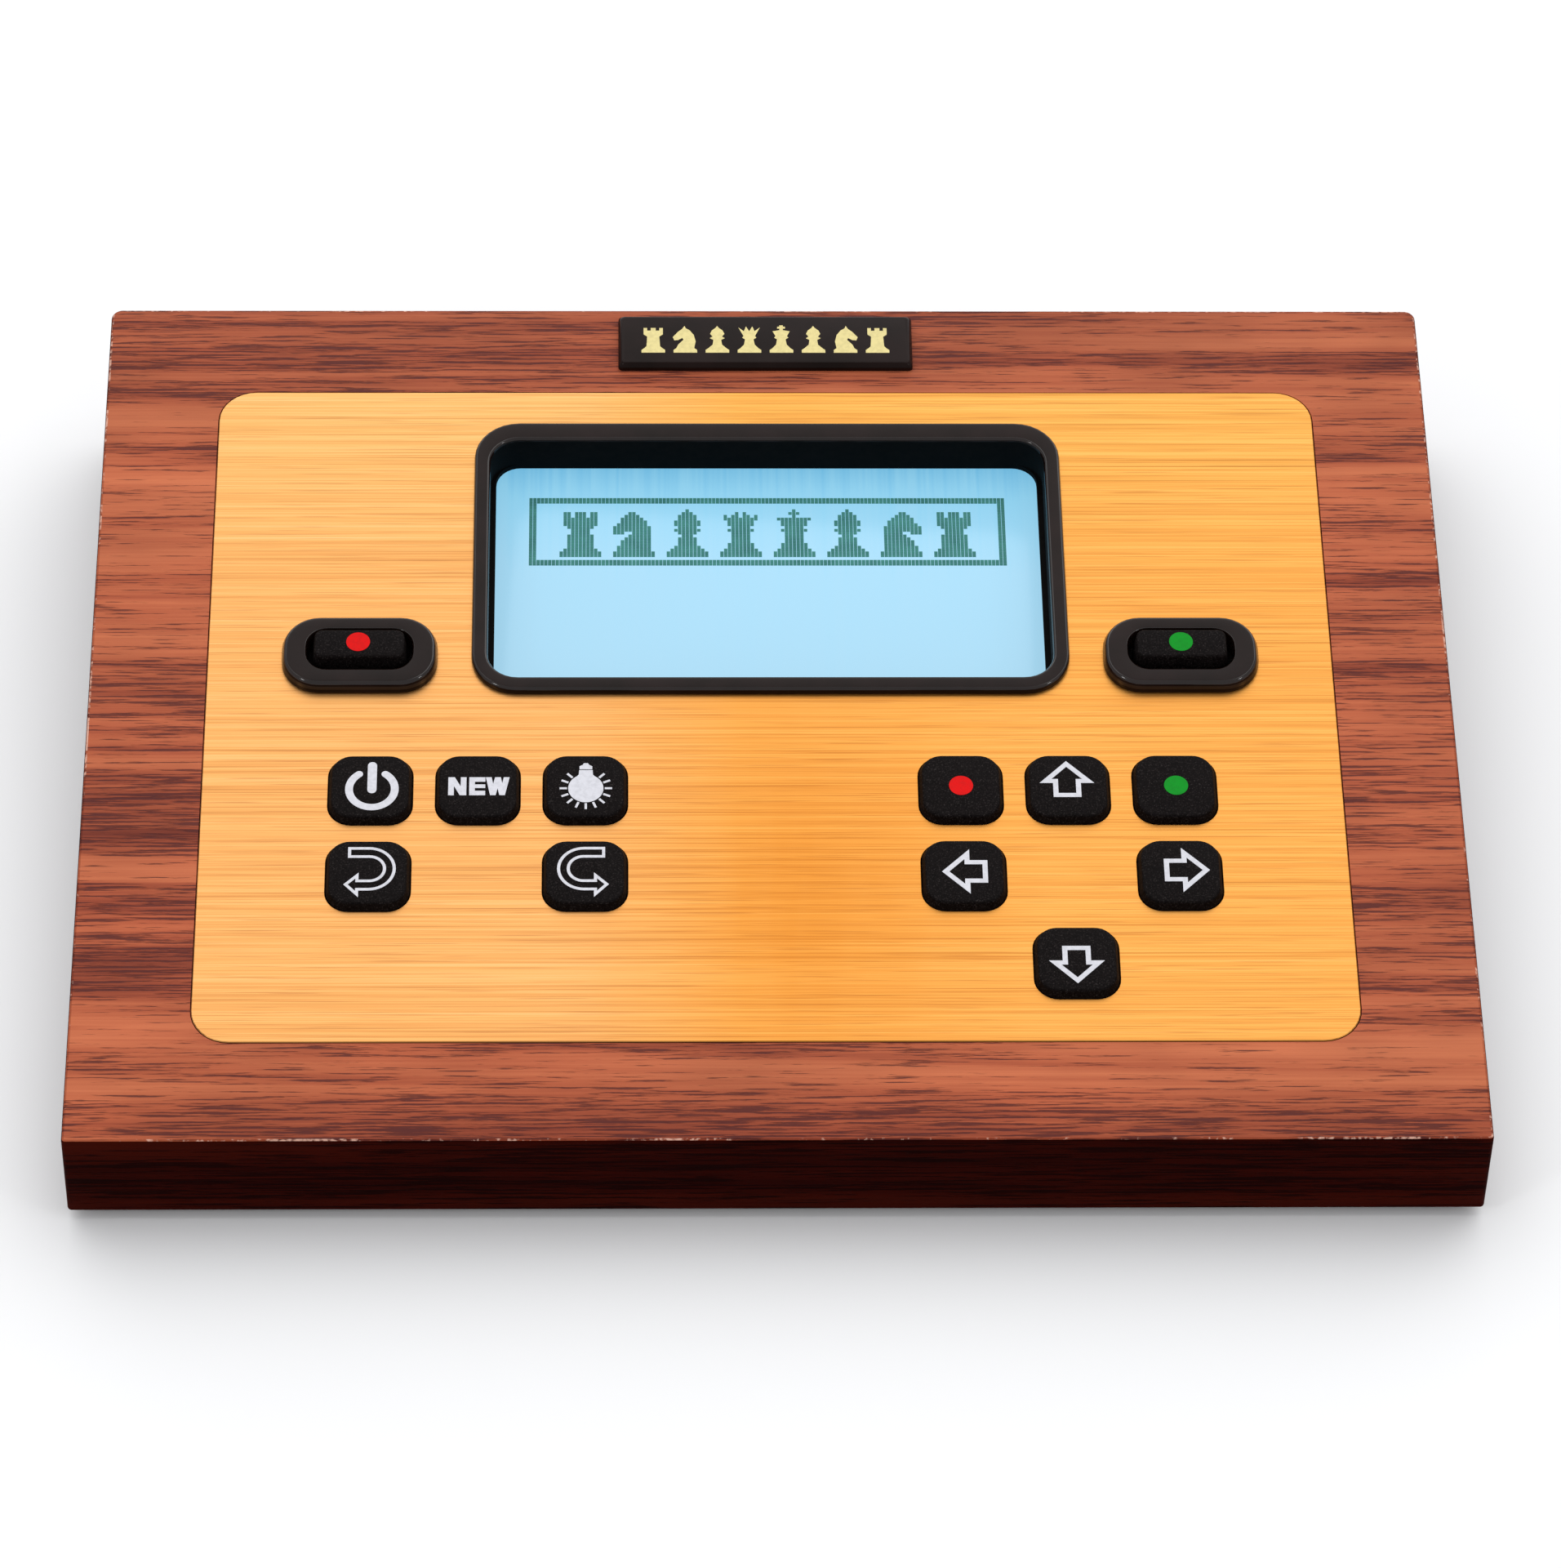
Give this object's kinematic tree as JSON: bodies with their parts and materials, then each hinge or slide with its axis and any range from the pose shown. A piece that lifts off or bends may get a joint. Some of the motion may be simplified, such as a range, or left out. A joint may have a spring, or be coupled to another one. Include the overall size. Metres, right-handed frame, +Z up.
{
  "type": "electronic chess computer",
  "caption": "Table-top chess computer: a shallow wooden wedge case with a brushed brass faceplate, a sunk display, square arrow and command keys and two long keys in raised collars.",
  "frame": {"origin": "on the table plane, under the middle of the case", "axes": "+X to the user's right, +Y to the back of the case, +Z up"},
  "size_m": [0.18, 0.139, 0.0266],
  "materials": {
    "black_silicone": "matte",
    "brushed_brass": "brushed from side to side",
    "can_aluminium": "satin",
    "carbon_rubber": "matte",
    "chip_black": "moulded",
    "circuit_board": "solder mask",
    "cover_black": "fine texture",
    "display_glass": "polished, lit from behind",
    "foot_rubber": "matte",
    "frame_steel": "plated",
    "gloss_black": "polished",
    "grey_silicone": "matte",
    "light_guide": "clear diffuser",
    "plain_wood": "raw",
    "ribbon_grey": "smooth",
    "screw_steel": "plated",
    "socket_black": "moulded",
    "veneered_wood": "satin lacquer"
  },
  "bodies": {
    "case": {"base_cover": "cover_black", "base_screws": "screw_steel", "board_link_socket": "socket_black", "buzzer": "chip_black", "corner_blocks": "plain_wood", "display_bezel": "gloss_black", "faceplate": "brushed_brass", "front_rail": "veneered_wood", "key_ribbons": "ribbon_grey", "lcd_backlight": "light_guide", "lcd_board": "circuit_board", "lcd_frame": "frame_steel", "lcd_glass": "display_glass", "lcd_ribbon": "ribbon_grey", "lcd_spacers": "screw_steel", "left_key_board": "circuit_board", "left_key_collar": "gloss_black", "left_key_mat": "grey_silicone", "left_rail": "veneered_wood", "main_board": "circuit_board", "main_board_screws": "screw_steel", "memory_chips": "chip_black", "nameplate": "gloss_black", "panel_screws": "screw_steel", "power_capacitors": "can_aluminium", "power_socket": "socket_black", "processor_chip": "chip_black", "rear_rail": "veneered_wood", "right_key_board": "circuit_board", "right_key_collar": "gloss_black", "right_key_mat": "grey_silicone", "right_rail": "veneered_wood", "rubber_feet": "foot_rubber", "top_board": "veneered_wood"},
    "power_key_body": {"power_key": "black_silicone", "power_key_pill": "carbon_rubber"},
    "new_game_key_body": {"new_game_key": "black_silicone", "new_game_key_pill": "carbon_rubber"},
    "light_key_body": {"light_key": "black_silicone", "light_key_pill": "carbon_rubber"},
    "undo_key_body": {"undo_key": "black_silicone", "undo_key_pill": "carbon_rubber"},
    "redo_key_body": {"redo_key": "black_silicone", "redo_key_pill": "carbon_rubber"},
    "red_key_body": {"red_key": "black_silicone", "red_key_pill": "carbon_rubber"},
    "up_key_body": {"up_key": "black_silicone", "up_key_pill": "carbon_rubber"},
    "green_key_body": {"green_key": "black_silicone", "green_key_pill": "carbon_rubber"},
    "left_arrow_key_body": {"left_arrow_key": "black_silicone", "left_arrow_key_pill": "carbon_rubber"},
    "right_arrow_key_body": {"right_arrow_key": "black_silicone", "right_arrow_key_pill": "carbon_rubber"},
    "down_key_body": {"down_key": "black_silicone", "down_key_pill": "carbon_rubber"},
    "left_long_key_body": {"left_long_key": "black_silicone", "left_long_key_pill": "carbon_rubber"},
    "right_long_key_body": {"right_long_key": "black_silicone", "right_long_key_pill": "carbon_rubber"}
  },
  "joints": [
    {"name": "power_key_press", "type": "slide", "parent": "case", "child": "power_key_body", "axis": [0, 0.0715, -0.9974], "range_m": [0, 0.001], "stiffness_N_per_m": 600, "springref_m": -0.001},
    {"name": "new_game_key_press", "type": "slide", "parent": "case", "child": "new_game_key_body", "axis": [0, 0.0715, -0.9974], "range_m": [0, 0.001], "stiffness_N_per_m": 600, "springref_m": -0.001},
    {"name": "light_key_press", "type": "slide", "parent": "case", "child": "light_key_body", "axis": [0, 0.0715, -0.9974], "range_m": [0, 0.001], "stiffness_N_per_m": 600, "springref_m": -0.001},
    {"name": "undo_key_press", "type": "slide", "parent": "case", "child": "undo_key_body", "axis": [0, 0.0715, -0.9974], "range_m": [0, 0.001], "stiffness_N_per_m": 600, "springref_m": -0.001},
    {"name": "redo_key_press", "type": "slide", "parent": "case", "child": "redo_key_body", "axis": [0, 0.0715, -0.9974], "range_m": [0, 0.001], "stiffness_N_per_m": 600, "springref_m": -0.001},
    {"name": "red_key_press", "type": "slide", "parent": "case", "child": "red_key_body", "axis": [0, 0.0715, -0.9974], "range_m": [0, 0.001], "stiffness_N_per_m": 600, "springref_m": -0.001},
    {"name": "up_key_press", "type": "slide", "parent": "case", "child": "up_key_body", "axis": [0, 0.0715, -0.9974], "range_m": [0, 0.001], "stiffness_N_per_m": 600, "springref_m": -0.001},
    {"name": "green_key_press", "type": "slide", "parent": "case", "child": "green_key_body", "axis": [0, 0.0715, -0.9974], "range_m": [0, 0.001], "stiffness_N_per_m": 600, "springref_m": -0.001},
    {"name": "left_arrow_key_press", "type": "slide", "parent": "case", "child": "left_arrow_key_body", "axis": [0, 0.0715, -0.9974], "range_m": [0, 0.001], "stiffness_N_per_m": 600, "springref_m": -0.001},
    {"name": "right_arrow_key_press", "type": "slide", "parent": "case", "child": "right_arrow_key_body", "axis": [0, 0.0715, -0.9974], "range_m": [0, 0.001], "stiffness_N_per_m": 600, "springref_m": -0.001},
    {"name": "down_key_press", "type": "slide", "parent": "case", "child": "down_key_body", "axis": [0, 0.0715, -0.9974], "range_m": [0, 0.001], "stiffness_N_per_m": 600, "springref_m": -0.001},
    {"name": "left_long_key_press", "type": "slide", "parent": "case", "child": "left_long_key_body", "axis": [0, 0.0715, -0.9974], "range_m": [0, 0.001], "stiffness_N_per_m": 600, "springref_m": -0.001},
    {"name": "right_long_key_press", "type": "slide", "parent": "case", "child": "right_long_key_body", "axis": [0, 0.0715, -0.9974], "range_m": [0, 0.001], "stiffness_N_per_m": 600, "springref_m": -0.001}
  ]
}
